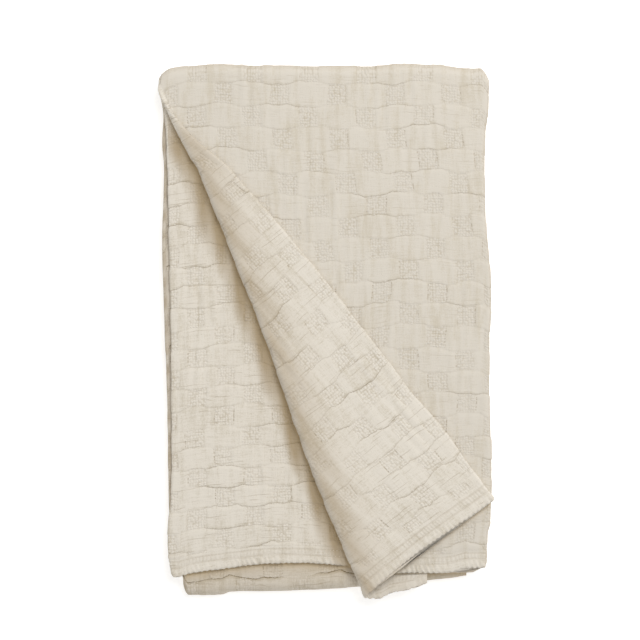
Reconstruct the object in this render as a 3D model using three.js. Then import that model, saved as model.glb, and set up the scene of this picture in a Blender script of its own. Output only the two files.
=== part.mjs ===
// A matelasse coverlet, one hemmed cotton sheet folded for a shelf, in millimetres, +Z up.
// It is folded in four across its width and in three along its length, so twelve layers lie in three
// stacks. The two uppermost layers are turned back together over a slanting crease.
// The origin is on the surface it lies on, under the middle of the bundle; +Y is the top fold.
import * as THREE from "three";

// Cloth
const thickness = 2.6;
const layerPitch = 3.6; // from one layer's middle to the next one's in a stack
const half = thickness / 2;

// Layers of a stack, counted from the stack's middle: face on top, then tuck, inner and base
const level = {
  face: 1.5 * layerPitch,
  tuck: 0.5 * layerPitch,
  inner: -0.5 * layerPitch,
  base: -1.5 * layerPitch,
};
const pairMiddle = (level.face + level.tuck) / 2; // the middle of the two layers that turn back
const tightFold = layerPitch / 2; // bend radius where two neighbouring layers join
const wideFold = layerPitch; // bend radius where face wraps round tuck's edge to inner

// Stacks
const stackPitch = 4 * layerPitch;
const stackFold = stackPitch / 2;
const foldReach = stackFold + level.face + half; // how far a stack's fold stands past its centre line
const height = {
  lower: -level.base + half,
  middle: -level.base + half + stackPitch,
  upper: -level.base + half + 2 * stackPitch,
};

// Outline of the folded bundle, each line given at its own bends
const topFoldLine = [
  { x: -229, y: 346 },
  { x: -213, y: 357 },
  { x: -184, y: 361 },
  { x: -149, y: 363 },
  { x: -100, y: 361.5 },
  { x: -10, y: 360.5 },
  { x: 56, y: 360.5 },
  { x: 106, y: 363.5 },
  { x: 147, y: 362.5 },
  { x: 188, y: 357.5 },
  { x: 208, y: 358 },
  { x: 220, y: 346 },
];
const bottomFoldLine = [
  { x: -200, y: -340 },
  { x: -189, y: -360.5 },
  { x: -144, y: -359.5 },
  { x: -131, y: -355.5 },
  { x: -77, y: -355 },
  { x: 31, y: -350 },
  { x: 134, y: -340.5 },
  { x: 192, y: -333.5 },
  { x: 212, y: -326 },
];
const rightFoldLine = [
  { y: 346, x: 220 },
  { y: 310, x: 219 },
  { y: 266, x: 214.5 },
  { y: 220, x: 214 },
  { y: 151, x: 216 },
  { y: 88, x: 222 },
  { y: 51, x: 223 },
  { y: -4, x: 220.5 },
  { y: -61, x: 220.5 },
  { y: -184, x: 223.5 },
  { y: -253, x: 222 },
  { y: -270, x: 218 },
  { y: -302, x: 217 },
  { y: -322, x: 213.5 },
];
const leftFoldOfLowerStacks = [
  { y: 346, x: -229 },
  { y: 324, x: -225.5 },
  { y: 300, x: -223 },
  { y: 266, x: -224.5 },
  { y: 225, x: -222 },
  { y: 123, x: -224.5 },
  { y: 40, x: -222.5 },
  { y: -94, x: -218 },
  { y: -261, x: -215 },
  { y: -325, x: -202 },
  { y: -347, x: -196 },
];
const leftFoldOfInner = [
  { y: 346, x: -229 },
  { y: 324, x: -225.5 },
  { y: 300, x: -221 },
  { y: 246, x: -218 },
  { y: 130, x: -215 },
  { y: 42, x: -213.5 },
  { y: -94, x: -211.5 },
  { y: -189, x: -211.5 },
  { y: -271, x: -217 },
  { y: -306, x: -213 },
  { y: -335, x: -202 },
];

// The turned-back pair as it would lie before it is turned: its left fold, and the hem of each layer
const crestLine = [
  { y: 346, x: -229 },
  { y: 324, x: -225.5 },
  { y: 300, x: -221 },
  { y: 273, x: -216 },
  { y: 210, x: -207 },
  { y: 99, x: -203 },
  { y: -12, x: -197 },
  { y: -108, x: -192.5 },
  { y: -257, x: -192 },
  { y: -312, x: -186 },
  { y: -386, x: -173 },
];
const faceHem = [
  { x: -173, y: -388 },
  { x: -99, y: -376 },
  { x: -37, y: -366 },
  { x: 24, y: -352 },
  { x: 58, y: -339 },
  { x: 94, y: -329.5 },
  { x: 136, y: -328.5 },
  { x: 167, y: -327 },
  { x: 189, y: -321.5 },
  { x: 212, y: -321.5 },
];
const tuckHem = [
  { x: -173, y: -388 },
  { x: -99, y: -376.5 },
  { x: -46, y: -368.5 },
  { x: 42, y: -361.5 },
  { x: 70, y: -364 },
  { x: 88, y: -356 },
  { x: 109, y: -352.5 },
  { x: 136, y: -342.5 },
];
const innerHem = [
  { x: -202, y: -335 },
  { x: -184, y: -329.5 },
  { x: -145, y: -323.5 },
  { x: -79, y: -316 },
  { x: -37, y: -315.5 },
  { x: 31, y: -319.5 },
  { x: 200, y: -328 },
  { x: 212, y: -321.5 },
];
const tuckSideEdge = 136; // x of the sheet's side edge under the face
const baseSideEdge = 190; // x of its other side edge, at the bottom of each stack
const lowerEnd = 336; // y of the sheet's far hem, under the top fold
const nominalHem = -325;

// The slanting crease: where it starts, its direction, and its bends, by the distance from its start
const creaseStart = new THREE.Vector2(-223, 314);
const creaseEnd = new THREE.Vector2(42.2, -349.8);
const creaseBends = [
  { along: 0, bow: -2, radius: 4.4 },
  { along: 60, bow: 2.5, radius: 4.8 },
  { along: 120, bow: 9.5, radius: 5 },
  { along: 310, bow: 9, radius: 5.4 },
  { along: 420, bow: 6, radius: 5.8 },
  { along: 520, bow: 1, radius: 6.2 },
  { along: 600, bow: 0.5, radius: 6.5 },
  { along: 720, bow: 4, radius: 6.5 },
];
const flapRest = 7.8; // the turned-back pair's middle above the pair it lies on
const flapSettle = 75; // the distance over which it comes down from the crease

// Woven relief: staggered puffed blocks between pebbled patches, a repeat across and along
const repeat = { across: 76.2, along: 28.56, start: -192.6 };
const relief = { row: 0.35, block: 0.4 };
const rowStep = repeat.along / 2;

// Mesh steps
const latticeStep = repeat.across / 2;
const sparseStep = 2 * latticeStep;
const hiddenStep = 3 * latticeStep;
const creaseSteps = 4;
const stackRows = [0, 0.25, 0.5, 0.75, 1]; // rows of the two lower stacks, as shares of their length
const shortest = 0.05; // stations closer than this are one
const stackFoldSteps = 5;
const foldSteps = { crest: 3, wrap: 3, spine: 3 };

// A smooth curve through a table's rows, without overshoot between them
function curveThrough(rows, key, value) {
  const sorted = [...rows].sort((a, b) => a[key] - b[key]);
  const at = sorted.map((row) => row[key]);
  const to = sorted.map((row) => row[value]);
  const rise = to.slice(1).map((v, i) => (v - to[i]) / (at[i + 1] - at[i]));
  const slope = to.map((_, i) => {
    if (i === 0) return rise[0];
    if (i === rise.length) return rise[i - 1];
    const [before, after] = [rise[i - 1], rise[i]];
    return before * after <= 0 ? 0 : (2 * before * after) / (before + after);
  });
  return (t) => {
    if (t <= at[0]) return to[0];
    if (t >= at[at.length - 1]) return to[to.length - 1];
    const i = at.findIndex((next) => next > t) - 1;
    const gap = at[i + 1] - at[i];
    const u = (t - at[i]) / gap;
    const hermite =
      (2 * u ** 3 - 3 * u ** 2 + 1) * to[i] +
      (u ** 3 - 2 * u ** 2 + u) * gap * slope[i] +
      (3 * u ** 2 - 2 * u ** 3) * to[i + 1] +
      (u ** 3 - u ** 2) * gap * slope[i + 1];
    return hermite;
  };
}

const topAt = curveThrough(topFoldLine, "x", "y");
const bottomAt = curveThrough(bottomFoldLine, "x", "y");
const rightAt = curveThrough(rightFoldLine, "y", "x");
const lowerLeftAt = curveThrough(leftFoldOfLowerStacks, "y", "x");
const innerLeftAt = curveThrough(leftFoldOfInner, "y", "x");
const crestAt = curveThrough(crestLine, "y", "x");
const hemAt = {
  face: curveThrough(faceHem, "x", "y"),
  tuck: curveThrough(tuckHem, "x", "y"),
  inner: curveThrough(innerHem, "x", "y"),
};
hemAt.base = hemAt.inner;
const bowAt = curveThrough(creaseBends, "along", "bow");
const radiusAt = curveThrough(creaseBends, "along", "radius");

const smooth = (t) => THREE.MathUtils.smoothstep(t, 0, 1);
const mix = THREE.MathUtils.lerp;

// Rows of the sheet, from the near hem over both stack folds to the far hem
function sheetRows() {
  const rows = [];
  const upperLength = topFoldLine[5].y - foldReach - nominalHem;
  const count = Math.round(upperLength / rowStep);
  for (let i = 0; i <= count; i++) rows.push({ run: "upper", part: i / count, index: i });
  for (let i = 1; i < stackFoldSteps; i++)
    rows.push({ run: "topFold", turn: (i / stackFoldSteps) * Math.PI });
  for (const part of stackRows) rows.push({ run: "middle", part });
  for (let i = 1; i < stackFoldSteps; i++)
    rows.push({ run: "bottomFold", turn: (i / stackFoldSteps) * Math.PI });
  for (const part of stackRows) rows.push({ run: "lower", part });
  return rows;
}

// A row's y where it lies on a straight run; the hem's own dips fade out up the sheet
function runY(row, x, layer) {
  const top = topAt(x) - foldReach;
  const bottom = bottomAt(x) + foldReach;
  if (row.run === "middle") return mix(top, bottom, row.part);
  if (row.run === "lower") return mix(bottom, lowerEnd, row.part);
  const dip = hemAt[layer](x) - nominalHem;
  return mix(nominalHem, top, row.part) + dip * (1 - row.part) ** 2;
}

// The folds on the left and right that a row meets
function rowEdges(row) {
  const y = { topFold: 346, bottomFold: -347 }[row.run] ?? runY(row, 0, "inner");
  const upper = row.run === "upper";
  return {
    right: rightAt(y),
    crest: upper ? crestAt(runY(row, crestLine[5].x, "face")) : lowerLeftAt(y),
    spine: upper ? innerLeftAt(y) : lowerLeftAt(y),
  };
}

// A point off the crease: its distance along and across it, and the bend radius there
const creaseAlong = creaseEnd.clone().sub(creaseStart).normalize();
const creaseAcross = new THREE.Vector2(-creaseAlong.y, creaseAlong.x);
function offCrease(x, y) {
  const from = new THREE.Vector2(x, y).sub(creaseStart);
  const along = from.dot(creaseAlong);
  const line = bowAt(along) + layerPitch / 2 + half;
  return { along, line, across: from.dot(creaseAcross) - line, radius: radiusAt(along) };
}

// How far round the crease a point has turned, in radians: 0 and below lies flat
function turnOf(x, row, layer) {
  const { across, radius } = offCrease(x, runY(row, x, layer));
  return (radius - across) / radius;
}

// Folds a point of the turned-back pair over the crease; offset is its height above the pair's middle
function turnBack(x, y, offset) {
  const { along, line, across, radius } = offCrease(x, y);
  const turn = (radius - across) / radius;
  if (turn <= 0) return { x, y, z: offset };
  let reach;
  let z;
  if (turn < Math.PI) {
    reach = radius - (radius - offset) * Math.sin(turn);
    z = radius - (radius - offset) * Math.cos(turn);
  } else {
    const past = (turn - Math.PI) * radius;
    reach = radius + past;
    z = mix(2 * radius, flapRest, smooth(past / flapSettle)) - offset;
  }
  const place = creaseStart
    .clone()
    .addScaledVector(creaseAlong, along)
    .addScaledVector(creaseAcross, reach + line);
  return { x: place.x, y: place.y, z };
}

// True where the turned-back pair lies over a point of the face
function coveredByFlap(x, y) {
  const margin = 9;
  const { along, line, across, radius } = offCrease(x, y);
  const before = creaseStart
    .clone()
    .addScaledVector(creaseAlong, along)
    .addScaledVector(creaseAcross, line - across + 2 * radius - Math.PI * radius);
  return before.x > crestAt(before.y) - margin && across > -margin;
}

// Relief of the visible cloth: blocks rise, the lines between rows of blocks sink
function quilting(row, x) {
  if (row.run !== "upper") return 0;
  const phase = row.index / 2;
  const swell = Math.cos(2 * Math.PI * phase);
  const stagger = Math.floor(phase + 0.5) % 2;
  const block = Math.cos(2 * Math.PI * ((x - repeat.start) / repeat.across + stagger / 2));
  return relief.row * swell + relief.block * block * Math.max(swell, 0);
}

// How far a face of the cloth stands off its middle; side is 1 on the outside and -1 on the inside
function faceOffset(station, row, side) {
  const { fold, layer, x } = station;
  if (row.run !== "upper" || fold !== undefined) return side * half;
  const turn = turnOf(x, row, layer === "face" ? "face" : "tuck");
  let shown = 0;
  if (layer === "face" && side > 0 && turn < 0)
    shown = coveredByFlap(x, runY(row, x, layer)) ? 0 : 1;
  if (layer === "tuck" && side > 0) shown = smooth((turn - Math.PI / 2) / (Math.PI / 2));
  if (layer === "inner" && side < 0) shown = smooth((turn - 3) / 2);
  return side * (half + shown * quilting(row, x));
}

// The sheet's place across a stack: x, and its level from the stack's middle
function acrossStack(station, edges, offset) {
  const { fold, turn, layer, x } = station;
  if (fold === "crest") {
    const radius = tightFold + offset;
    const centre = edges.crest + tightFold + half;
    return { x: centre - radius * Math.sin(turn), level: pairMiddle - radius * Math.cos(turn) };
  }
  if (fold === "wrap") {
    const radius = wideFold + offset;
    const centre = edges.right - wideFold - half;
    return { x: centre + radius * Math.sin(turn), level: level.tuck + radius * Math.cos(turn) };
  }
  if (fold === "spine") {
    const radius = tightFold - offset;
    const centre = edges.spine + tightFold + half;
    const middle = (level.inner + level.base) / 2;
    return { x: centre - radius * Math.sin(turn), level: middle + radius * Math.cos(turn) };
  }
  const outward = layer === "face" || layer === "base" ? 1 : -1;
  return { x, level: level[layer] + outward * offset };
}

// A point of the sheet in space
function place(station, row, edges, offset) {
  const across = acrossStack(station, edges, offset);
  const top = topAt(across.x) - foldReach;
  const bottom = bottomAt(across.x) + foldReach;
  if (row.run === "topFold") {
    const radius = stackFold + across.level;
    const middle = (height.upper + height.middle) / 2;
    return new THREE.Vector3(
      across.x,
      top + radius * Math.sin(row.turn),
      middle + radius * Math.cos(row.turn),
    );
  }
  if (row.run === "bottomFold") {
    const radius = stackFold - across.level;
    const middle = (height.middle + height.lower) / 2;
    return new THREE.Vector3(
      across.x,
      bottom - radius * Math.sin(row.turn),
      middle + radius * Math.cos(row.turn),
    );
  }
  const y = runY(row, across.x, station.layer);
  if (row.run === "middle") return new THREE.Vector3(across.x, y, height.middle - across.level);
  if (row.run === "lower") return new THREE.Vector3(across.x, y, height.lower + across.level);
  if (station.layer === "face" || station.layer === "tuck") {
    const turned = turnBack(across.x, y, across.level - pairMiddle);
    return new THREE.Vector3(turned.x, turned.y, height.upper + pairMiddle + turned.z);
  }
  return new THREE.Vector3(across.x, y, height.upper + across.level);
}

// x values from one end to the other, with the relief's own columns between them, and others asked for
function columns(from, to, step, others = []) {
  const [low, high] = [Math.min(from, to), Math.max(from, to)];
  const clear = step / 4;
  const inside = others.filter((x) => x > low && x < high);
  for (let i = 0; repeat.start + i * step < high; i++) {
    const x = repeat.start + i * step;
    if (x > low + clear && x < high - clear && !inside.some((other) => Math.abs(other - x) < 1))
      inside.push(x);
  }
  const all = [low, ...inside.sort((a, b) => a - b), high];
  return from < to ? all : all.reverse();
}

// The x values where a layer meets the crease's steps, and where it comes flat again on both sides
function creaseColumns(row, layer, left, right) {
  if (row.run !== "upper") return { turnedFrom: left, arc: [left] };
  const most = turnOf(left, row, layer);
  if (most <= 0) return { turnedFrom: left, arc: [left] };
  const solve = (turn) => {
    let [low, high] = [left, right];
    for (let i = 0; i < 40; i++) {
      const middle = (low + high) / 2;
      if (turnOf(middle, row, layer) > turn) low = middle;
      else high = middle;
    }
    return low;
  };
  const arc = [];
  for (let i = 0; i <= creaseSteps; i++) {
    const turn = (i / creaseSteps) * Math.PI;
    if (turn < most - 0.15) arc.push(solve(turn));
  }
  if (most < Math.PI) arc.push(left);
  return { turnedFrom: arc[arc.length - 1], arc };
}

function foldStations(fold, layer) {
  const count = foldSteps[fold];
  return Array.from({ length: count + 1 }, (_, i) => ({ fold, layer, turn: (i / count) * Math.PI }));
}

// The stations of one row, in stretches that keep their order from row to row
function stationsOf(row, edges) {
  const upper = row.run === "upper";
  const laid = (layer, xs) => xs.map((x) => ({ layer, x }));
  const crestEnd = edges.crest + tightFold + half;
  const wrapStart = edges.right - wideFold - half;
  const spineEnd = edges.spine + tightFold + half;
  const tuck = creaseColumns(row, "tuck", crestEnd, tuckSideEdge);
  const face = creaseColumns(row, "face", crestEnd, wrapStart);
  const visible = upper ? latticeStep : sparseStep;
  const hidden = upper ? hiddenStep : sparseStep;
  const shared = upper ? [] : [tuckSideEdge];
  const underFlap = upper ? face.arc[0] : wrapStart;
  return [
    laid("tuck", columns(tuckSideEdge, tuck.arc[0], hidden)),
    laid("tuck", tuck.arc),
    laid("tuck", columns(tuck.turnedFrom, crestEnd, visible)),
    foldStations("crest", "tuck"),
    laid("face", columns(crestEnd, face.turnedFrom, visible)),
    laid("face", [...face.arc].reverse()),
    laid("face", columns(face.arc[0], wrapStart, visible, shared)),
    foldStations("wrap", "face"),
    laid("inner", columns(wrapStart, underFlap, hidden)),
    laid("inner", columns(underFlap, spineEnd, visible, shared)),
    foldStations("spine", "inner"),
    laid("base", columns(spineEnd, baseSideEdge, hidden, shared)),
  ];
}

// Triangles between two rows' points: the shorter way across is taken at each step
function stitch(before, after, middles, add) {
  let [i, j] = [0, 0];
  const far = (p, q) => middles[p].distanceToSquared(middles[q]);
  while (i < before.length - 1 || j < after.length - 1) {
    const moveBefore =
      j === after.length - 1 ||
      (i < before.length - 1 && far(before[i + 1], after[j]) < far(before[i], after[j + 1]));
    if (moveBefore) {
      add(before[i], before[i + 1], after[j]);
      i++;
    } else {
      add(before[i], after[j + 1], after[j]);
      j++;
    }
  }
}

function makeSheet() {
  const outside = [];
  const inside = [];
  const middles = [];
  const rows = sheetRows().map((row) => {
    const edges = rowEdges(row);
    let last;
    return stationsOf(row, edges).map((stretch) => {
      const ids = last === undefined ? [] : [last];
      for (const station of stretch.slice(ids.length)) {
        const middle = place(station, row, edges, 0);
        if (last !== undefined && middle.distanceTo(middles[last]) < shortest) continue;
        last = middles.push(middle) - 1;
        outside.push(place(station, row, edges, faceOffset(station, row, 1)));
        inside.push(place(station, row, edges, faceOffset(station, row, -1)));
        ids.push(last);
      }
      return ids;
    });
  });
  const shift = middles.length;
  const index = [];
  const addBoth = (a, b, c) => {
    index.push(a, b, c);
    index.push(c + shift, b + shift, a + shift);
  };
  for (let r = 1; r < rows.length; r++)
    rows[r].forEach((stretch, k) => stitch(rows[r - 1][k], stretch, middles, addBoth));

  // The rim joins the two faces along both hems and both side edges
  const ends = rows.map((stretches) => stretches.flat());
  const firstRow = ends[0].filter((id, i, all) => id !== all[i - 1]);
  const lastRow = ends[ends.length - 1].filter((id, i, all) => id !== all[i - 1]);
  const startSide = ends.map((ids) => ids[0]);
  const endSide = ends.map((ids) => ids[ids.length - 1]);
  const rim = [...firstRow, ...endSide.slice(1), ...lastRow.reverse().slice(1)];
  rim.push(...startSide.slice(1, -1).reverse());
  rim.forEach((id, i) => {
    const next = rim[(i + 1) % rim.length];
    index.push(next, id, id + shift);
    index.push(next, id + shift, next + shift);
  });

  const geometry = new THREE.BufferGeometry().setFromPoints([...outside, ...inside]);
  geometry.setIndex(index);
  geometry.computeBoundingBox();
  const middle = geometry.boundingBox.getCenter(new THREE.Vector3());
  return geometry.translate(-middle.x, -middle.y, 0);
}

const cotton = new THREE.MeshStandardMaterial({
  color: 0xddd6c9,
  roughness: 0.95,
  metalness: 0,
});

const coverlet = new THREE.Mesh(makeSheet(), cotton);
coverlet.name = "coverlet";

const folded = new THREE.Group();
folded.add(coverlet);

export default folded;
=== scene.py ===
import math
import bpy
import numpy as np
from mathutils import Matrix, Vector


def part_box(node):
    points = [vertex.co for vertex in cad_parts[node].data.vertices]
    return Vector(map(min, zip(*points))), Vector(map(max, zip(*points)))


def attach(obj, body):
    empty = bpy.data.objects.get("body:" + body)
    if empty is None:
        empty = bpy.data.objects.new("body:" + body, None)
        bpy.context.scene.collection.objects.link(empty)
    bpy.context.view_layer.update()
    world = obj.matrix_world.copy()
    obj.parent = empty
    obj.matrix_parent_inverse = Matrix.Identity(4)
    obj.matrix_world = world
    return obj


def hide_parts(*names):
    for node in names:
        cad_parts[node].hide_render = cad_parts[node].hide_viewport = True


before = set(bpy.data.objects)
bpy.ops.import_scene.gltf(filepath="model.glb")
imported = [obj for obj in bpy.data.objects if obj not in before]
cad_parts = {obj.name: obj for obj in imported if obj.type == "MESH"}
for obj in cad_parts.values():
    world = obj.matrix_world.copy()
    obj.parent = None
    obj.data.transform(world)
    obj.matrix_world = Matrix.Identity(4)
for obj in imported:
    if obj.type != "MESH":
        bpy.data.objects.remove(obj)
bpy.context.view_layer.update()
print("frame loaded")

mm = 0.001

# How the sheet lies, in mm: layers from the top are face, tuck, inner and base, in each of three stacks
fold = {
    "thickness": 2.6,
    "layerPitch": 3.6,
    "nominalHem": -325.0,
    "tuckSideEdge": 136.0,
    "baseSideEdge": 190.0,
    "lowerEnd": 336.0,
    "creaseStart": (-223.0, 314.0),
    "creaseEnd": (42.2, -349.8),
    "flapRest": 7.8,
    "flapSettle": 75.0,
    "topRow": 346.0,
    "bottomRow": -347.0,
    "crestMiddle": -203.0,
    "coverMargin": 4,
    "shownMargin": 14,
    "creaseMargin": 8,
}
half = fold["thickness"] / 2
pitch = fold["layerPitch"]
face, tuck, inner, base = 0, 1, 2, 3
noFold, crest, wrap, spine = 0, 1, 2, 3
upper, topFold, middle, bottomFold, lower = 0, 1, 2, 3, 4
pairMiddle = pitch
tightFold = pitch / 2
wideFold = pitch
stackFold = 2 * pitch
stackLayers = 4
outermost = 1.5  # an outer layer's distance from its stack's middle, in pitches
layerLevel = (outermost - np.arange(stackLayers)) * pitch
foldReach = stackFold + outermost * pitch + half
lowerHeight, middleHeight, upperHeight = (
    (outermost + stackLayers * k) * pitch + half for k in range(3))

# The outline's lines, each at its own bends, in mm
lines = {
    "topFold": [(-229, 346), (-213, 357), (-184, 361), (-149, 363), (-100, 361.5), (-10, 360.5),
                (56, 360.5), (106, 363.5), (147, 362.5), (188, 357.5), (208, 358), (220, 346)],
    "bottomFold": [(-200, -340), (-189, -360.5), (-144, -359.5), (-131, -355.5), (-77, -355),
                   (31, -350), (134, -340.5), (192, -333.5), (212, -326)],
    "faceHem": [(-173, -388), (-99, -376), (-37, -366), (24, -352), (58, -339), (94, -329.5),
                (136, -328.5), (167, -327), (189, -321.5), (212, -321.5)],
    "tuckHem": [(-173, -388), (-99, -376.5), (-46, -368.5), (42, -361.5), (70, -364), (88, -356),
                (109, -352.5), (136, -342.5)],
    "innerHem": [(-202, -335), (-184, -329.5), (-145, -323.5), (-79, -316), (-37, -315.5),
                 (31, -319.5), (200, -328), (212, -321.5)],
}
# The same for the lines that run up the bundle, as (y, x)
sideLines = {
    "right": [(346, 220), (310, 219), (266, 214.5), (220, 214), (151, 216), (88, 222), (51, 223),
              (-4, 220.5), (-61, 220.5), (-184, 223.5), (-253, 222), (-270, 218), (-302, 217),
              (-322, 213.5)],
    "lowerLeft": [(346, -229), (324, -225.5), (300, -223), (266, -224.5), (225, -222), (123, -224.5),
                  (40, -222.5), (-94, -218), (-261, -215), (-325, -202), (-347, -196)],
    "innerLeft": [(346, -229), (324, -225.5), (300, -221), (246, -218), (130, -215), (42, -213.5),
                  (-94, -211.5), (-189, -211.5), (-271, -217), (-306, -213), (-335, -202)],
    "crest": [(346, -229), (324, -225.5), (300, -221), (273, -216), (210, -207), (99, -203),
              (-12, -197), (-108, -192.5), (-257, -192), (-312, -186), (-386, -173)],
}
# The crease that the two top layers turn back over: distance along it, sideways bow, bend radius
creaseBends = [(0, -2, 4.4), (60, 2.5, 4.8), (120, 9.5, 5), (310, 9, 5.4), (420, 6, 5.8),
               (520, 1, 6.2), (600, 0.5, 6.5), (720, 4, 6.5)]


def curveThrough(points):  # smooth and without overshoot between its points
    at, to = np.array(sorted(points), float).T
    rise = np.diff(to) / np.diff(at)
    slope = np.concatenate([rise[:1], np.zeros(len(at) - 2), rise[-1:]])
    same = rise[:-1] * rise[1:] > 0
    slope[1:-1][same] = (2 * rise[:-1] * rise[1:])[same] / (rise[:-1] + rise[1:])[same]

    def curve(t):
        t = np.clip(np.asarray(t, float), at[0], at[-1])
        i = np.clip(np.searchsorted(at, t, side="right") - 1, 0, len(at) - 2)
        gap = at[i + 1] - at[i]
        u = (t - at[i]) / gap
        return ((2 * u**3 - 3 * u**2 + 1) * to[i] + (u**3 - 2 * u**2 + u) * gap * slope[i]
                + (3 * u**2 - 2 * u**3) * to[i + 1] + (u**3 - u**2) * gap * slope[i + 1])

    return curve


topAt = curveThrough(lines["topFold"])
bottomAt = curveThrough(lines["bottomFold"])
hemAt = [curveThrough(lines[name]) for name in ("faceHem", "tuckHem", "innerHem", "innerHem")]
rightAt, lowerLeftAt, innerLeftAt, crestAt = (
    curveThrough(sideLines[name]) for name in ("right", "lowerLeft", "innerLeft", "crest"))
bowAt, radiusAt = (curveThrough([(b[0], b[k]) for b in creaseBends]) for k in (1, 2))
creaseStart = np.array(fold["creaseStart"])
creaseAlong = np.array(fold["creaseEnd"]) - creaseStart
creaseAlong /= np.linalg.norm(creaseAlong)
creaseAcross = np.array([-creaseAlong[1], creaseAlong[0]])


def smooth(t):
    t = np.clip(t, 0, 1)
    return t * t * (3 - 2 * t)


def mix(a, b, t):
    return a + (b - a) * t


def hemOf(layer, x):
    found = np.empty(np.shape(x))
    for code in (face, tuck, inner, base):
        these = layer == code
        found[these] = hemAt[code](x[these])
    return found


def runY(run, part, layer, x):  # where a row crosses a layer's straight run
    top = topAt(x) - foldReach
    bottom = bottomAt(x) + foldReach
    dip = hemOf(layer, x) - fold["nominalHem"]
    y = mix(fold["nominalHem"], top, part) + dip * (1 - part) ** 2
    y = np.where(run == middle, mix(top, bottom, part), y)
    return np.where(run == lower, mix(bottom, fold["lowerEnd"], part), y)


def offCrease(x, y):  # along the crease, across it, the crease line's own shift, the bend radius
    dx, dy = x - creaseStart[0], y - creaseStart[1]
    along = dx * creaseAlong[0] + dy * creaseAlong[1]
    line = bowAt(along) + pitch / 2 + half
    across = dx * creaseAcross[0] + dy * creaseAcross[1] - line
    return along, across, line, radiusAt(along)


def fromCrease(along, across):  # the point at a distance along the crease and across it
    return (creaseStart[0] + creaseAlong[0] * along + creaseAcross[0] * across,
            creaseStart[1] + creaseAlong[1] * along + creaseAcross[1] * across)


def clothOver(along, across, line, radius):  # the place in the cloth that comes to lie over this one
    return fromCrease(along, line - across + (2 - math.pi) * radius)


def turnOf(run, part, layer, x):  # how far round the crease, in radians; below 0 lies flat
    _, across, _, radius = offCrease(x, runY(run, part, layer, x))
    return (radius - across) / radius


def turnBack(x, y, offset):
    along, across, line, radius = offCrease(x, y)
    turn = (radius - across) / radius
    bend = np.clip(turn, 0, math.pi)
    past = np.maximum(turn - math.pi, 0) * radius
    flat = turn >= math.pi
    reach = np.where(flat, radius + past, radius - (radius - offset) * np.sin(bend))
    settled = mix(2 * radius, fold["flapRest"], smooth(past / fold["flapSettle"])) - offset
    z = np.where(flat, settled, radius - (radius - offset) * np.cos(bend))
    newX, newY = fromCrease(along, reach + line)
    still = turn <= 0
    return np.where(still, x, newX), np.where(still, y, newY), np.where(still, offset, z)


def underFlap(x, y, margin):  # true where the turned-back pair lies over a point of the face
    overX, overY = clothOver(*offCrease(x, y))
    return (overX > crestAt(overY) - margin) & (overY > hemAt[tuck](overX) - margin)


def place(s, offset):  # stations s, each a row of named arrays, to points in mm
    bend, turn, layer, run = s["bend"], s["turn"], s["layer"], s["run"]
    x, level = s["x"].copy(), layerLevel[layer].copy()
    outward = np.where((layer == face) | (layer == base), 1.0, -1.0)
    level = level + outward * offset
    sin, cos = np.sin(turn), np.cos(turn)
    reach = tightFold + half
    here = bend == crest
    x = np.where(here, s["crestX"] + reach - (tightFold + offset) * sin, x)
    level = np.where(here, pairMiddle - (tightFold + offset) * cos, level)
    here = bend == wrap
    x = np.where(here, s["rightX"] - wideFold - half + (wideFold + offset) * sin, x)
    level = np.where(here, layerLevel[tuck] + (wideFold + offset) * cos, level)
    here = bend == spine
    x = np.where(here, s["spineX"] + reach - (tightFold - offset) * sin, x)
    level = np.where(here, -pairMiddle + (tightFold - offset) * cos, level)
    top = topAt(x) - foldReach
    bottom = bottomAt(x) + foldReach
    y = runY(run, s["part"], layer, x)
    z = upperHeight + level
    turned = (run == upper) & ((layer == face) | (layer == tuck))
    tx, ty, tz = turnBack(x, y, level - pairMiddle)
    px = np.where(turned, tx, x)
    y = np.where(turned, ty, y)
    z = np.where(turned, upperHeight + pairMiddle + tz, z)
    z = np.where(run == middle, middleHeight - level, z)
    z = np.where(run == lower, lowerHeight + level, z)
    rowSin, rowCos = np.sin(s["rowTurn"]), np.cos(s["rowTurn"])
    radius = stackFold + level
    here = run == topFold
    y = np.where(here, top + radius * rowSin, y)
    z = np.where(here, (upperHeight + middleHeight) / 2 + radius * rowCos, z)
    radius = stackFold - level
    here = run == bottomFold
    y = np.where(here, bottom - radius * rowSin, y)
    z = np.where(here, (middleHeight + lowerHeight) / 2 + radius * rowCos, z)
    return np.stack([px, y, z], 1)


# Rows of the sheet: run, share of the run, turn of a stack fold, distance from the near hem
upperLength = topAt(0) - foldReach - fold["nominalHem"]
middleLength = topAt(0) - bottomAt(0) - 2 * foldReach
lowerLength = fold["lowerEnd"] - bottomAt(0) - foldReach
foldLength = math.pi * stackFold
runLengths = [upperLength, foldLength, middleLength, foldLength, lowerLength]
runStarts = np.concatenate([[0], np.cumsum(runLengths)])
roundedEdge = [0.0, 0.3, 0.8, 1.5, 2.4]  # rows that shape a hem's edge


def sheetRows(first, last, steps, near=0, nearStep=1.5):  # steps: the row step in mm on each run
    distances = []
    if first <= 0:
        distances = [(d, 0) for d in roundedEdge]
        distances += [(d, 0) for d in np.arange(roundedEdge[-1] + nearStep, near, nearStep)]
    begun = distances[-1][0] if distances else first
    for run, (length, step) in enumerate(zip(runLengths, steps)):
        low = max(begun, runStarts[run])
        high = min(last, runStarts[run] + length)
        if high > low + 1e-6:
            count = max(1, round((high - low) / step))
            skipped = 1 if distances else 0
            distances += [(d, run) for d in np.linspace(low, high, count + 1)[skipped:]]
    rows = []
    for distance, run in distances:
        share = (distance - runStarts[run]) / runLengths[run]
        turn = share * math.pi if run in (topFold, bottomFold) else 0.0
        rows.append((run, share, turn, distance))
    return np.array(rows)


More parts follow.
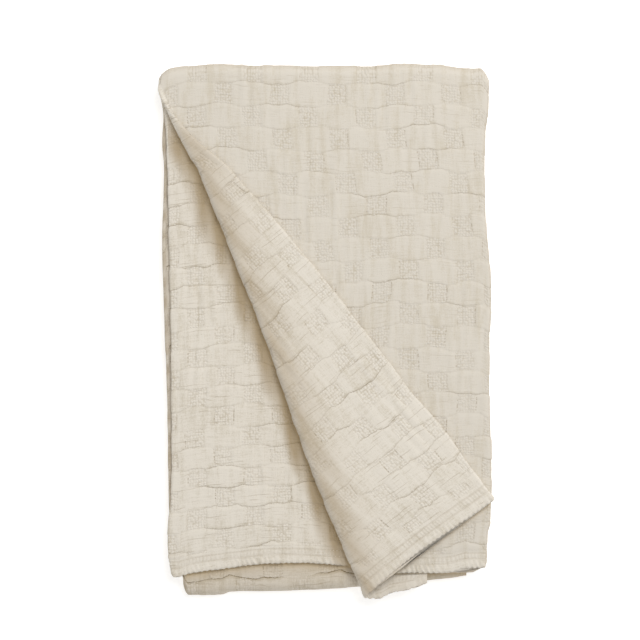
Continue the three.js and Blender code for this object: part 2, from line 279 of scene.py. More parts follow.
def edgesOf(rows):
    run = rows[:, 0].astype(int)
    zero = np.zeros(len(rows))
    layer = np.full(len(rows), inner)
    y = runY(run, rows[:, 1], layer, zero)
    y = np.where(run == topFold, fold["topRow"], np.where(run == bottomFold, fold["bottomRow"], y))
    crestY = runY(run, rows[:, 1], np.full(len(rows), face), zero + fold["crestMiddle"])
    up = run == upper
    return {
        "right": rightAt(y),
        "crest": np.where(up, crestAt(crestY), lowerLeftAt(y)),
        "spine": np.where(up, innerLeftAt(y), lowerLeftAt(y)),
    }


def crossingAt(low, high, isLow, halvings=30):  # the last x from low to high where isLow holds
    low, high = low.copy(), high.copy()
    for _ in range(halvings):
        centre = (low + high) / 2
        held = isLow(centre)
        low = np.where(held, centre, low)
        high = np.where(held, high, centre)
    return low


def marksOf(rows):  # the x of each named place on every row
    run, part = rows[:, 0].astype(int), rows[:, 1]
    edges, count = edgesOf(rows), len(rows)
    up = run == upper
    crestEnd = edges["crest"] + tightFold + half
    wrapStart = edges["right"] - wideFold - half

    def turnedUpTo(layer, angle):
        layers = np.full(count, layer)
        found = crossingAt(crestEnd, wrapStart, lambda x: turnOf(run, part, layers, x) > angle)
        return np.where(up, np.maximum(found, crestEnd), crestEnd)

    faceFlat = turnedUpTo(face, 0.0)
    faceLayer = np.full(count, face)

    def covered(x):
        return underFlap(x, runY(run, part, faceLayer, x), fold["coverMargin"])

    shown = crossingAt(faceFlat, wrapStart, covered) - fold["shownMargin"]
    shown = np.where(up, np.maximum(shown, faceFlat), crestEnd)
    creased = up & (faceFlat > crestEnd + 1)
    return {
        "tuckEdge": np.full(count, fold["tuckSideEdge"]),
        "tuckFlat": turnedUpTo(tuck, 0.0),
        "tuckTurned": turnedUpTo(tuck, math.pi),
        "crestEnd": crestEnd,
        "faceTurned": turnedUpTo(face, math.pi),
        "faceFlat": faceFlat,
        "faceShown": shown,
        "wrapStart": wrapStart,
        "innerShown": np.where(creased, faceFlat + fold["creaseMargin"], crestEnd),
        "spineEnd": edges["spine"] + tightFold + half,
        "baseEdge": np.full(count, fold["baseSideEdge"]),
        "crestX": edges["crest"],
        "rightX": edges["right"],
        "spineX": edges["spine"],
    }


fields = ["bend", "turn", "layer", "x", "key", "run", "part", "rowTurn", "distance",
          "crestX", "rightX", "spineX"]
keySpan = 2000  # more than one stretch's keys, to keep the stretches in order
keyEdge = 400  # beyond any x
leastStretch = 0.05


def stationsOf(rows, plan):  # plan: (layer, from mark, to mark, step, step near the hem) or a fold
    marks = marksOf(rows)
    table, counts = [], []
    for r, (run, part, rowTurn, distance) in enumerate(rows):
        pieces = []
        for k, stretch in enumerate(plan):
            if len(stretch) == 3:
                layer, bend, steps = stretch
                turns = np.linspace(0, math.pi, steps + 1)
                xs = np.zeros(steps + 1)
                keys = turns / math.pi * keySpan / 2
            else:
                layer, start, end, step = stretch[:4]
                if len(stretch) == 5 and distance < hem["fineReach"] and run == upper:
                    step = stretch[4]
                a, b = marks[start][r], marks[end][r]
                count = math.ceil(abs(b - a) / step) if abs(b - a) > leastStretch else 0
                xs = np.linspace(a, b, count + 1)
                turns = np.zeros(count + 1)
                bend = noFold
                keys = np.abs(xs + keyEdge if b >= a else xs - keyEdge)
                if count == 0:
                    keys = np.zeros(1)
            begin = 0 if k == 0 else 1
            size = len(xs) - begin
            columns = (bend, turns[begin:], layer, xs[begin:], k * keySpan + keys[begin:], run, part,
                       rowTurn, distance, *(marks[name][r] for name in fields[-3:]))
            pieces.append(np.column_stack([np.broadcast_to(column, size) for column in columns]))
        row = np.concatenate(pieces)
        table.append(row)
        counts.append(len(row))
    table = np.concatenate(table)
    stations = {name: table[:, i] for i, name in enumerate(fields)}
    for name in ("bend", "layer", "run"):
        stations[name] = stations[name].astype(int)
    return stations, np.concatenate([[0], np.cumsum(counts)])


def zipped(a, aKeys, b, bKeys):  # triangles between two chains of points, by their keys
    moves = np.concatenate([(aKeys[1:] + aKeys[:-1]) / 2, (bKeys[1:] + bKeys[:-1]) / 2])
    onA = np.concatenate([np.ones(len(a) - 1, int), np.zeros(len(b) - 1, int)])
    onA = onA[np.argsort(moves, kind="stable")]
    i = np.cumsum(onA) - onA
    j = np.cumsum(1 - onA) - (1 - onA)
    third = np.where(onA == 1, a[np.minimum(i + 1, len(a) - 1)], b[np.minimum(j + 1, len(b) - 1)])
    return np.stack([a[i], third, b[j]], 1)


def surfaceOf(stations, starts):  # triangles of one side of the sheet
    key = stations["key"]
    rows = [np.arange(*ends) for ends in zip(starts[:-1], starts[1:])]
    return np.concatenate([zipped(a, key[a], b, key[b]) for a, b in zip(rows[:-1], rows[1:])])


def edgeChain(side, edge):  # the points along one edge of a side, with their keys
    stations, starts = side
    if edge in ("nearHem", "farHem"):
        first = 0 if edge == "nearHem" else -2
        ids = np.arange(starts[first], starts[first + 1])
        return ids, stations["key"][ids]
    ids = starts[:-1] if edge == "startSide" else starts[1:] - 1
    return ids, stations["distance"][ids]


def rimOf(one, other, ahead):  # two sides joined at their four edges; ahead: the first's points
    triangles = []
    for edge, turned in (("nearHem", False), ("farHem", True), ("startSide", True), ("endSide", False)):
        a, aKeys = edgeChain(one, edge)
        b, bKeys = edgeChain(other, edge)
        strip = zipped(a, aKeys, b + ahead, bKeys)
        triangles.append(strip if turned else strip[:, ::-1])
    return np.concatenate(triangles)


# The woven pattern: blocks puff up between pebbled patches, staggered from row to row, in mm
weave = {
    "blockPitch": 76.8,
    "arch": 1.5,  # how far the line between two rows swings up and down
    "archSharpness": 2.6,
    "lift": 5.0,
    "driftStart": 400,
    "driftLength": 230,
    "patchWidth": 24.5,
    "patchEdge": 3,
    "patchDrop": 0.22,
    "patchShare": (0.6, 0.4),  # the least there is of it, and what chance adds
    "puff": 0.8,
    "puffShare": (0.45, 0.8),
    "creaseWidth": 1.1,
    "creaseDepth": 0.4,
    "creaseReach": (5, 4),  # where it starts to fade, and over what width
    "creaseShare": (0.1, 0.9),
    "lipPlace": 3.4,
    "lipWidth": 2.0,
    "lipHeight": 0.24,
    "sidePlace": 0.6,
    "sideWidth": 1.4,
    "sideDepth": 0.22,
    "dotAcross": 9.9,
    "dotAlong": 7.6,
    "dotBetween": 4.9,
    "dotSquash": (0.85, 1.5),
    "dotRadius": 2.3,
    "dotHeight": 0.2,
    "ruckWidth": 0.11,
    "ruckDepth": 0.22,
    "rippleHeight": 0.62,
}
hem = {
    "width": 21.0,
    "fineReach": 29.0,  # where the mesh is finer
    "fade": (1.5, 4),  # how far past its width, and over what length
    "raise": 0.7,
    "stitchRows": (12.0, 20.0),
    "stitchWidth": 0.9,
    "stitchDepth": 0.7,
    "stitchShade": 0.65,
    "ladderPitch": 4.9,
    "ladderShare": 0.75,
    "ladderDepth": 0.6,
    "ladderShade": 0.5,
    "puckerPitch": 7.4,
    "puckerShare": 0.6,
    "puckerLean": (1.4, 0.45),
    "puckerHeight": 0.6,
    "puckerShade": 0.4,
    "rollPlace": 4.4,
    "rollWidth": 2.8,
    "rollHeight": 0.6,
    "scallop": 0.7,
    "scallopLean": 0.35,
    "scallopReach": 9,
}
# Slow unevenness: its amount, the lengths of its waves in mm in two directions, its own seed
waves = {
    "blocks": (3.2, 27, 80, 0),
    "blocksFine": (1.2, 9, 60, 2),
    "rows": (2.6, 31, 60, 1),
    "rowsFine": (0.8, 9, 20, 0),
    "jog": (1.0, 6, 1, 4),
    "jogFine": (0.5, 2.2, 1, 7),
    "rucks": (1, 46, 6.2, 6),
    "ruckPlaces": (1, 35, 30, 8),
    "ripple": (1, 2.7, 30, 9),
    "ripplePlaces": (1, 33, 55, 6),
    "slowRipple": (0.25, 6, 60, 5),
    "ladder": (3.0, 12, 30, 0),
    "ladderFine": (1.1, 4.5, 9, 1),
    "ladderShare": (0.4, 15, 1, 4),
    "stitchRow": (0.7, 21, 1, 0),
    "stitchShade": (0.3, 9, 1, 3),
    "puckerShare": (0.6, 17, 1, 2),
    "edge": (0.8, 23, 1, 3),
    "streaks": (0.3, 5, 40, 3),
    "hollowEdge": (0.2, 13, 21, 9),
    "hollowFolds": (0.3, 5, 30, 6),
    "bundle": (1.1, 62, 75, 2),
    "bundleFine": (0.7, 25, 38, 5),
}
# Each layer's own place in the pattern, how deep its creases are and how far along them they reach
layoutColumns = ("rowStart", "rowPitch", "blockStart", "drift", "depth", "reach", "puckers", "seed")
layouts = {layer: dict(zip(layoutColumns, row)) for layer, row in (
    (face, (3.35, 29.9, 72.5, -19, 0.65, 0.15, 1.1, 1)),
    (tuck, (10, 27.6, -148, 0, 0.8, 0.3, 0.7, 4)),
    (inner, (1.2, 27.48, -177, 4, 0.82, 0.3, 1.0, 7)),
    (base, (0, 28, -150, 0, 1.7, 0.7, 0.9, 9)),
)}


def alongCloth(s):  # a station's place across the cloth, through the folds too
    bend, turn = s["bend"], s["turn"]
    u = np.where(bend == crest, s["crestX"] + tightFold + half - tightFold * turn, s["x"])
    u = np.where(bend == wrap, s["rightX"] - wideFold - half + wideFold * turn, u)
    return np.where(bend == spine, s["spineX"] + tightFold + half - tightFold * turn, u)


def wobble(a, b, seed):  # a smooth field from -1 to 1, without a repeat that shows
    return (np.sin(a + 1.7 * np.sin(0.61 * b + seed) + 2.1 * seed)
            + np.sin(0.57 * a - 0.83 * b + 1.3 * seed + 1.2 * np.sin(0.43 * a + seed))
            + 0.7 * np.sin(1.31 * a + 0.9 * b + 3.7 * seed)) / 2.7


def wave(name, a, b, seed=0):
    amount, aLength, bLength, own = waves[name]
    return amount * wobble(a / aLength, b / bLength, seed + own)


def chance(*numbers):  # from 0 to 1, evenly spread and always the same for the same whole numbers
    mixed = sum(n * w for n, w in zip(numbers, (12.9898, 78.233, 37.719)))
    return np.abs(np.sin(mixed) * 43758.5453) % 1.0


def ranged(pair, t):  # the least, and what is added to it when t is 1
    return pair[0] + pair[1] * t


def patternAt(u, v, layout):  # height, and what the finish needs: the nearest line and patch
    seed, rowPitch = layout["seed"], layout["rowPitch"]
    width = weave["blockPitch"]
    drifted = smooth((v - weave["driftStart"]) / weave["driftLength"])
    u1 = u - layout["blockStart"] - layout["drift"] * drifted
    u1 = u1 + wave("blocks", v, u, seed) + wave("blocksFine", v, u, seed)
    v1 = v - layout["rowStart"] + wave("rows", u, v, seed) + wave("rowsFine", u, v, seed)

    def lineAt(k):  # the line under row k
        own = u1 / width - ((k - 1) % 2) / 2
        lift = weave["lift"] * (chance(np.floor(own * 2), k, seed) - 0.5) * np.sin(np.pi * own * 2) ** 2
        jog = wave("jog", u1, 2.7 * k, seed) + wave("jogFine", u1, 1.9 * k, seed)
        arch = weave["arch"] * np.tanh(weave["archSharpness"] * np.cos(2 * np.pi * own))
        return k * rowPitch - arch + lift + jog

    k = np.floor(v1 / rowPitch)
    k = np.where(v1 < lineAt(k), k - 1, k)
    k = np.where(v1 >= lineAt(k + 1), k + 1, k)
    bottom, top = lineAt(k), lineAt(k + 1)
    share = np.clip((v1 - bottom) / (top - bottom), 0, 1)
    own = u1 / width - (k % 2) / 2
    m = np.round(own)
    du = (own - m) * width
    dv = (share - 0.5) * (rowPitch - 2 * weave["arch"])
    edge = weave["patchWidth"] / 2
    pebbled = ranged(weave["patchShare"], chance(m, k, seed + 2))
    patch = (1 - smooth((np.abs(du) - edge + 1) / weave["patchEdge"])) * pebbled

    block = np.floor(own)
    across = np.clip(own - block, 0, 1) * 2 - 1
    amount = ranged(weave["puffShare"], chance(block, k, seed))
    swell = 0.7 + 0.3 * smooth(share / 0.85)
    fall = smooth((1 - share) / 0.2)
    crown = (1 - np.abs(across) ** 5) * swell * fall
    height = weave["puff"] * amount * crown * (1 - patch) - weave["patchDrop"] * patch

    toTop, toBottom = top - v1, v1 - bottom
    nearest = np.where(toTop < toBottom, -toTop, toBottom)
    line = np.where(toTop < toBottom, k + 1, k)
    wander = wobble(u1 / 24 + 2.3 * line, line * 1.9, seed + 3)
    present = smooth((wander + layout["reach"]) / 0.8)
    fadeStart, fadeWidth = weave["creaseReach"]
    strength = ranged(weave["creaseShare"], present * (0.5 + 0.5 * chance(line, seed, 2)))
    strength = strength * (1 - smooth((np.abs(nearest) - fadeStart) / fadeWidth))
    groove = np.exp(-(nearest / weave["creaseWidth"]) ** 2) * strength
    height = height - weave["creaseDepth"] * layout["depth"] * groove
    lip = np.exp(-((toTop - weave["lipPlace"]) / weave["lipWidth"]) ** 2)
    height = height + weave["lipHeight"] * lip * (1 - patch) * present

    sideOn = np.abs(np.abs(du) - edge - weave["sidePlace"])
    sideStrength = smooth((chance(m * 2 + (du > 0), k, seed + 5) - 0.3) / 0.7)
    sideStrength = sideStrength * smooth(share / 0.2) * smooth((1 - share) / 0.15)
    height = height - weave["sideDepth"] * sideStrength * np.exp(-(sideOn / weave["sideWidth"]) ** 2)

    a, b = np.abs(du), np.abs(dv)
    squashA, squashB = weave["dotSquash"]
    toDot = np.hypot(a - weave["dotAcross"], b - weave["dotAlong"])
    toDot = np.minimum(toDot, np.hypot(du / squashA, dv / squashB))
    toDot = np.minimum(toDot, np.hypot((a - weave["dotBetween"]) / squashA, dv / squashB))
    dot = np.clip(1 - toDot / weave["dotRadius"], 0, 1)
    height = height + weave["dotHeight"] * patch * np.sqrt(dot)

    here = smooth((wave("ruckPlaces", u, v, seed) - 0.1) / 0.4)
    ruck = np.exp(-(wave("rucks", u, v, seed) / weave["ruckWidth"]) ** 2) * here
    height = height - weave["ruckDepth"] * layout["depth"] * ruck * (1 - patch)
    here = smooth((wave("ripplePlaces", u, v, seed) + 0.35) / 0.9)
    rippled = weave["rippleHeight"] * here * wave("ripple", u, v, seed)
    height = height + rippled + wave("slowRipple", u, v, seed)
    nearLine = np.stack([nearest, strength * layout["depth"], sideStrength], 1)
    return height, nearLine, np.stack([du, dv, patch], 1)


def hemAtPlace(u, d, layout):  # height and shade of a hem, d from its edge
    first, second = hem["stitchRows"]
    seed = layout["seed"]
    height = hem["raise"] * (1 - smooth((d - hem["width"] - 1) / 1.6))
    shade = np.zeros(len(u))
    uneven = wave("ladder", u, d, seed) + wave("ladderFine", u, d, seed)
    for row in hem["stitchRows"]:
        line = np.exp(-((d - row - wave("stitchRow", u, row, seed)) / hem["stitchWidth"]) ** 2)
        height = height - hem["stitchDepth"] * line
        shade = np.maximum(shade, (hem["stitchShade"] + wave("stitchShade", u, row, seed)) * line)
    lively = hem["ladderShare"] + wave("ladderShare", u, 0 * u, seed)
    ladder = (0.5 + 0.5 * np.cos(2 * np.pi * (u + uneven) / hem["ladderPitch"])) ** 2 * lively
    between = smooth((d - first) / 1.5) * smooth((second - d) / 1.5)
    height = height - hem["ladderDepth"] * ladder * between
    shade = np.maximum(shade, hem["ladderShade"] * ladder * between)
    swell = hem["puckerShare"] + wave("puckerShare", u, 0 * u, seed)
    swell = layout["puckers"] * np.clip(swell, 0, 1.1)
    leanUneven, leanDown = hem["puckerLean"]
    lean = u + leanUneven * uneven + leanDown * d
    pucker = np.cos(2 * np.pi * lean / hem["puckerPitch"])
    outer = smooth(d / 1.5) * smooth((first - d) / 3)
    height = height + hem["puckerHeight"] * swell * pucker * outer
    shade = np.maximum(shade, hem["puckerShade"] * swell * np.clip(-pucker, 0, 1) ** 2 * outer)
    roll = hem["rollHeight"] * np.exp(-((d - hem["rollPlace"]) / hem["rollWidth"]) ** 2)
    return height + roll, shade


def edgeRound(d, roundTo=2.0):  # how much a side draws in at the edge, so that the edge is round
    t = np.clip(1 - d / roundTo, 0, 1)
    return 1 - np.sqrt(np.clip(1 - t * t, 0, 1))


# Painted shade, a browner tone laid where shade falls in the hollows, and a painted warm glow where
# layers touch, in their contact shadow: amounts from 0 to 1
paintedShadeAmounts = {
    "hidden": 0.5,
    "flap": 0.9,
    "tuck": 0.62,
    "folds": 0.55,
    "turns": 0.4,
    "foot": 0.34,
    "innerWidth": 20,  # past it the inner layer is out of sight
    "flapReach": (30, 24),  # near the crease's start and past its middle
    "tuckReach": 27,
    "faceHemStart": 50,  # the x from which the face's hem may be the lowest
}
# Painted shade and painted glow that fade away from an edge: its amount there, and its reach in mm
paintedFades = {
    "flapFar": (0.12, 60),
    "flapGlow": (1, 3.5),
    "hem": (0.3, 6),
    "hemGlow": (0.9, 2.5),
    "foot": (0.5, 7),
    "footGlow": (0.8, 4),
}


def paintedFading(name, distance):
    amount, reach = paintedFades[name]
    return amount * np.exp(-distance / reach)


def paintedShadeOf(s, u, points):  # painted shade: how deep in a hollow a place lies, where shade falls; painted warm glow: how near another layer's edge
    run, layer, bend, d = s["run"], s["layer"], s["bend"], s["distance"]
    x, y = points[:, 0], points[:, 1]
    along, across, line, radius = offCrease(u, runY(run, s["part"], layer, u))
    streaks = 1 + wave("streaks", u, d)
    started = smooth((along - 10) / 60)
    up = run == upper
    fromEdge = np.maximum(-across - pitch / 2 - half, 0)
    uneven = fromEdge * (1 + wave("hollowEdge", u, d))
    reach = mix(*paintedShadeAmounts["flapReach"], smooth((along - 150) / 250))
    # painted shadow cast by the flap on the inner layer beside it, and painted shade on the inner layer
    # where it lies under others
    besideFlap = paintedShadeAmounts["flap"] * (1 - smooth((uneven - 6) / reach)) + paintedFading("flapFar", fromEdge)
    here = (layer == inner) & up
    paintedShade = np.where(here, paintedShadeAmounts["hidden"], 0.0)
    here = here & (across < paintedShadeAmounts["innerWidth"])
    paintedShade = np.where(here, besideFlap * streaks * started, paintedShade)
    # painted warm glow along the flap's edge, in its contact shadow
    paintedBounce = np.where(here, paintedFading("flapGlow", fromEdge) * started, 0.0)
    here = up & (bend == spine)
    paintedShade = np.where(here, paintedShadeAmounts["hidden"] * smooth(s["turn"] - 0.6), paintedShade)
    paintedBounce[here] = 0
    pastCrease = np.maximum(radius - across - math.pi * radius, 0)
    onBend = smooth((radius - across) / radius / 1.6 - 1)
    besideCrease = np.exp(-(pastCrease / paintedShadeAmounts["tuckReach"]) ** 1.3) * mix(0.25, 1, onBend)
    # painted shade on the flap where it curves down from the crease
    here = (layer == tuck) & up
    paintedShade = np.where(here, paintedShadeAmounts["tuck"] * besideCrease * started * streaks, paintedShade)
    # painted shade in the folds of the lower stacks
    here = (run > topFold) & ((bend == spine) | (bend == crest))
    paintedShade = np.where(here, paintedShadeAmounts["folds"] + wave("hollowFolds", d, u), paintedShade)

    # painted shadow on the face under the flap's hem
    overX, overY = clothOver(along, across, line, radius)
    toFlapHem = hemAt[tuck](overX) - overY
    outside = np.maximum(toFlapHem, 0)
    beside = smooth((overX - crestAt(overY) + 6) / 12)
    here = (layer == face) & up & (toFlapHem > -8)
    paintedShade = np.where(here, paintedFading("hem", outside) * beside, paintedShade)
    # painted warm glow in the contact shadow under the flap's hem
    paintedBounce = np.where(here, paintedFading("hemGlow", outside) * beside, paintedBounce)
    # painted shade on the face where it lies turned under the flap
    here = (layer == face) & up & (pastCrease > 0)
    paintedShade[here] = paintedShadeAmounts["hidden"]
    paintedBounce[here] = 0
    # painted shade on the turned edges of the wrap and the top fold
    paintedShade = np.where(bend == wrap, paintedShadeAmounts["turns"] * smooth(s["turn"] - 0.3), paintedShade)
    paintedShade = np.where(run == topFold, paintedShadeAmounts["turns"] * smooth(s["rowTurn"] - 0.3), paintedShade)

    # painted shade and painted warm glow on the base strip under the hems
    innerHem = hemAt[inner](x)
    lowestHem = np.where(x > paintedShadeAmounts["faceHemStart"], np.minimum(hemAt[face](x), innerHem), innerHem)
    toHem = np.abs(lowestHem - y)
    here = ((run == middle) | (run == bottomFold)) & (layer == base)
    paintedShade = np.where(here, paintedShadeAmounts["foot"] + paintedFading("foot", toHem), paintedShade)
    return paintedShade, np.where(here, paintedFading("footGlow", toHem), paintedBounce)


def reliefOf(s, shown):  # height in mm of a whole side, and what the finish needs there
    u, d = alongCloth(s), s["distance"]
    count = len(u)
    height, shade = np.zeros(count), np.zeros(count)
    nearLines, patches = np.zeros((count, 3)), np.zeros((count, 3))
    if not shown:
        return height, shade, nearLines, patches
    calm = np.where(s["run"] == bottomFold, np.cos(s["rowTurn"] / 2) ** 2, 1.0)
    calm = np.where((s["run"] > topFold) & (s["bend"] != noFold), 0.35 * calm, calm)
    calm = np.where((s["run"] == lower) & (s["bend"] == spine), 0.0, calm)
    for layer, layout in layouts.items():
        here = (s["layer"] == layer) & ~((layer == base) & (s["run"] == lower))
        if not here.any():
            continue
        patternHeight, nearLine, inPatch = patternAt(u[here], d[here], layout)
        hemHeight, hemShade = hemAtPlace(u[here], d[here], layout)
        fadeStart, fadeWidth = hem["fade"]
        keep = smooth((d[here] - hem["width"] - fadeStart) / fadeWidth)
        height[here] = mix(hemHeight, patternHeight, keep) * calm[here]
        shade[here] = hemShade * (1 - keep)
        nearLine[:, 1:] *= keep[:, None]
        inPatch[:, 2] *= keep
        nearLines[here] = nearLine
        patches[here] = inPatch
    return height, shade, nearLines, patches


wavyHeight = 42
mostWave = 1.3


def bodyWave(points):  # the slow rise and fall of the whole bundle, growing with height
    x, y = points[:, 0], points[:, 1]
    rise = wave("bundle", x, y) + wave("bundleFine", x, y)
    lifted = points.copy()
    lifted[:, 2] += rise * np.clip(points[:, 2] / wavyHeight, 0, mostWave)
    return lifted


def addObject(name, data):
    made = bpy.data.objects.new(name, data)
    bpy.context.scene.collection.objects.link(made)
    return made


lowCorner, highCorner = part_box("coverlet")
shift = np.array([
    lowCorner.x / mm - min(p[0] for p in lines["topFold"]),
    highCorner.y / mm - max(p[1] for p in lines["topFold"]),
    0.0,
])


roundShare = 0.85


def sideOf(rows, plan, sign, shown):
    stations, starts = stationsOf(rows, plan)
    u, d = alongCloth(stations), stations["distance"]
    lean = u + hem["scallopLean"] * d
    scallop = hem["scallop"] * np.cos(2 * np.pi * lean / hem["puckerPitch"]) + wave("edge", u, 0 * u)
    scallop = scallop * (1 - smooth(d / hem["scallopReach"])) * (stations["run"] == upper)
    stations["part"] = stations["part"] - scallop / upperLength
    height, shade, nearLines, patches = reliefOf(stations, shown)
    thick = (half + height) * (1 - roundShare * edgeRound(d))
    placed = place(stations, sign * thick)
    points = bodyWave(placed) + shift
    # painted shade and painted warm glow, kept as attributes for the finish
    paintedShade, paintedBounce = paintedShadeOf(stations, u, placed)
    reverse = np.where(stations["layer"] == face, 0.0, 1.0)
    finish = {
        "cloth": np.stack([u, d, reverse], 1),
        "creases": nearLines,
        "patch": patches,
        "shade": shade,
        "paintedShade": paintedShade,
        "paintedBounce": paintedBounce,
    }
    return (stations, starts), points, finish


def makeSheet(name, outside, inside):  # each side: rows, plan, and whether it shows
    one, pointsA, finishA = sideOf(*outside[:2], 1, outside[2])
    other, pointsB, finishB = sideOf(*inside[:2], -1, inside[2])
    points = np.concatenate([pointsA, pointsB])
    count = len(pointsA)
    triangles = np.concatenate([surfaceOf(*one), surfaceOf(*other)[:, ::-1] + count,
                                rimOf(one, other, count)])
    mesh = bpy.data.meshes.new(name)
    mesh.vertices.add(len(points))
    mesh.vertices.foreach_set("co", (points * mm).ravel())
    mesh.loops.add(triangles.size)
    mesh.loops.foreach_set("vertex_index", triangles.ravel())
    mesh.polygons.add(len(triangles))
    mesh.polygons.foreach_set("loop_start", np.arange(0, triangles.size, 3))
    mesh.update(calc_edges=True)
    for key, values in finishA.items():
        both = np.concatenate([values, finishB[key]]).astype(np.float32)
        kind, field = ("FLOAT_VECTOR", "vector") if both.ndim == 2 else ("FLOAT", "value")
        mesh.attributes.new(key, kind, "POINT").data.foreach_set(field, both.ravel())
    mesh.validate()
    mesh.shade_smooth()
    piece = addObject(name, mesh)
    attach(piece, "root")
    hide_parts("coverlet")
    print(name, len(triangles), "triangles")
    return piece


upperEnd = upperLength + foldLength
fine, coarse = 1.5, 12
bendStep = 2
coarseRows = [20, 3.5, 25, 3.5, 25]
hiddenRows = sheetRows(0, upperEnd, coarseRows)

turnedFace = [(face, "crestEnd", "faceTurned", coarse), (face, "faceTurned", "faceFlat", bendStep)]
coverletFace = makeSheet(
    "coverletFace",
    (sheetRows(0, upperEnd, [fine, fine, 1, 1, 1]),
     turnedFace + [(face, "faceFlat", "faceShown", coarse), (face, "faceShown", "wrapStart", fine),
                   (face, wrap, 10)], True),
    (hiddenRows, turnedFace + [(face, "faceFlat", "wrapStart", coarse), (face, wrap, 6)], False))

coverletFlap = makeSheet(
    "coverletFlap",
    (sheetRows(0, upperEnd, [1.2, 3.5, 1, 1, 1]),
     [(tuck, "tuckEdge", "tuckFlat", coarse), (tuck, "tuckFlat", "crestEnd", 1.2),
      (tuck, crest, 9)], True),
    (sheetRows(0, upperEnd, coarseRows, hem["fineReach"], fine),
     [(tuck, "tuckEdge", "tuckFlat", coarse, fine), (tuck, "tuckFlat", "tuckTurned", bendStep),
      (tuck, "tuckTurned", "crestEnd", coarse), (tuck, crest, 5)], True))

coverletInner = makeSheet(
    "coverletInner",
    (hiddenRows,
     [(inner, "wrapStart", "innerShown", coarse), (inner, "innerShown", "spineEnd", coarse),
      (inner, spine, 5), (base, "spineEnd", "baseEdge", coarse)], False),
    (sheetRows(0, upperEnd, [fine, 3.5, 1, 1, 1]),
     [(inner, "wrapStart", "innerShown", coarse), (inner, "innerShown", "spineEnd", fine),
      (inner, spine, 8), (base, "spineEnd", "baseEdge", coarse)], True))

lowerPlan = [(tuck, "tuckEdge", "crestEnd", coarse), (tuck, crest, 6),
             (face, "crestEnd", "wrapStart", coarse), (face, wrap, 8),
             (inner, "wrapStart", "spineEnd", coarse), (inner, spine, 6)]
lastRow = 1e6  # beyond the far hem
coverletLower = makeSheet(
    "coverletLower",
    (sheetRows(upperEnd, lastRow, [1, 1, 20, 3, 20]),
     lowerPlan + [(base, "spineEnd", "baseEdge", coarse)], False),
    (sheetRows(upperEnd, lastRow, [1, 1, 4, 1.5, 20]),
     lowerPlan + [(base, "spineEnd", "baseEdge", 3)], True))


# Sewing thread: the stitches of the hems that show, in mm
thread = {
    "radius": 0.3,
    "step": 1.2,  # three stations to a stitch, then one left out
    "ends": -0.2,
    "middle": 0.3,
}


def stitchesOf(plan, sign):  # corners and triangles of the stitches along both rows of one hem
    corners, triangles = [], []
    for d in hem["stitchRows"]:
        stations, _ = stationsOf(np.array([(upper, d / upperLength, 0.0, d)]), plan)
        thick = half + reliefOf(stations, True)[0]

        def raised(lift):
            return bodyWave(place(stations, sign * (thick + lift))) + shift

        low, high = raised(thread["ends"]), raised(thread["middle"])
        outward = high - low
        outward /= np.linalg.norm(outward, axis=1)[:, None]
        for i in range(0, len(low) - 3, 4):
            path = np.array([low[i], high[i + 1], low[i + 2]])
            along = path[2] - path[0]
            across = np.cross(along, outward[i + 1])
            across *= thread["radius"] / np.linalg.norm(across)
            up = outward[i + 1] * thread["radius"]
            first = len(corners)
            for point in path:
                corners += [point + across, point + up, point - across, point - up]
            for k in range(8):
                a, b = first + k, first + k // 4 * 4 + (k + 1) % 4
                triangles += [(a, a + 4, b), (b, a + 4, b + 4)]
            for cap in ((0, 1, 2), (0, 2, 3), (8, 10, 9), (8, 11, 10)):
                triangles.append(tuple(first + k for k in cap))
    return corners, triangles


def makeThread(hems):
    corners, triangles = [], []
    for plan, sign in hems:
        more, faces = stitchesOf(plan, sign)
        triangles += [tuple(len(corners) + i for i in triangle) for triangle in faces]
        corners += more
    mesh = bpy.data.meshes.new("hemThread")
    mesh.from_pydata([tuple(corner * mm) for corner in corners], [], triangles)
    mesh.shade_smooth()
    piece = addObject("hemThread", mesh)
    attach(piece, "root")
    print("hemThread", len(triangles), "triangles")
    return piece


hemThread = makeThread([
    ([(layer, start, end, thread["step"])], sign) for layer, start, end, sign in (
        (face, "faceShown", "wrapStart", 1), (tuck, "tuckTurned", "crestEnd", 1),
        (tuck, "tuckEdge", "tuckFlat", -1), (inner, "innerShown", "spineEnd", -1))
])


class Socket:  # a node's output; sums and products of it add Math nodes
    def __init__(self, nodes, output):
        self.nodes = nodes
        self.output = output

    def maths(self, operation, *values):
        return self.nodes.add("ShaderNodeMath", {"operation": operation}, dict(enumerate(values)))

    def __add__(self, other):
        return self.maths("ADD", self, other)

    def __sub__(self, other):
        return self.maths("SUBTRACT", self, other)

    def __rsub__(self, other):
        return self.maths("SUBTRACT", other, self)

    def __mul__(self, other):
        return self.maths("MULTIPLY", self, other)

    __radd__ = __add__
    __rmul__ = __mul__

    def absolute(self):
        return self.maths("ABSOLUTE", self)

    def least(self, other):
        return self.maths("MINIMUM", self, other)

    def root(self):
        return self.maths("SQRT", self)

    def step(self, low, high):  # a soft step from 0 at low to 1 at high
        sockets = {"Value": self, "From Min": low, "From Max": high}
        return self.nodes.add("ShaderNodeMapRange", {"interpolation_type": "SMOOTHSTEP"}, sockets)


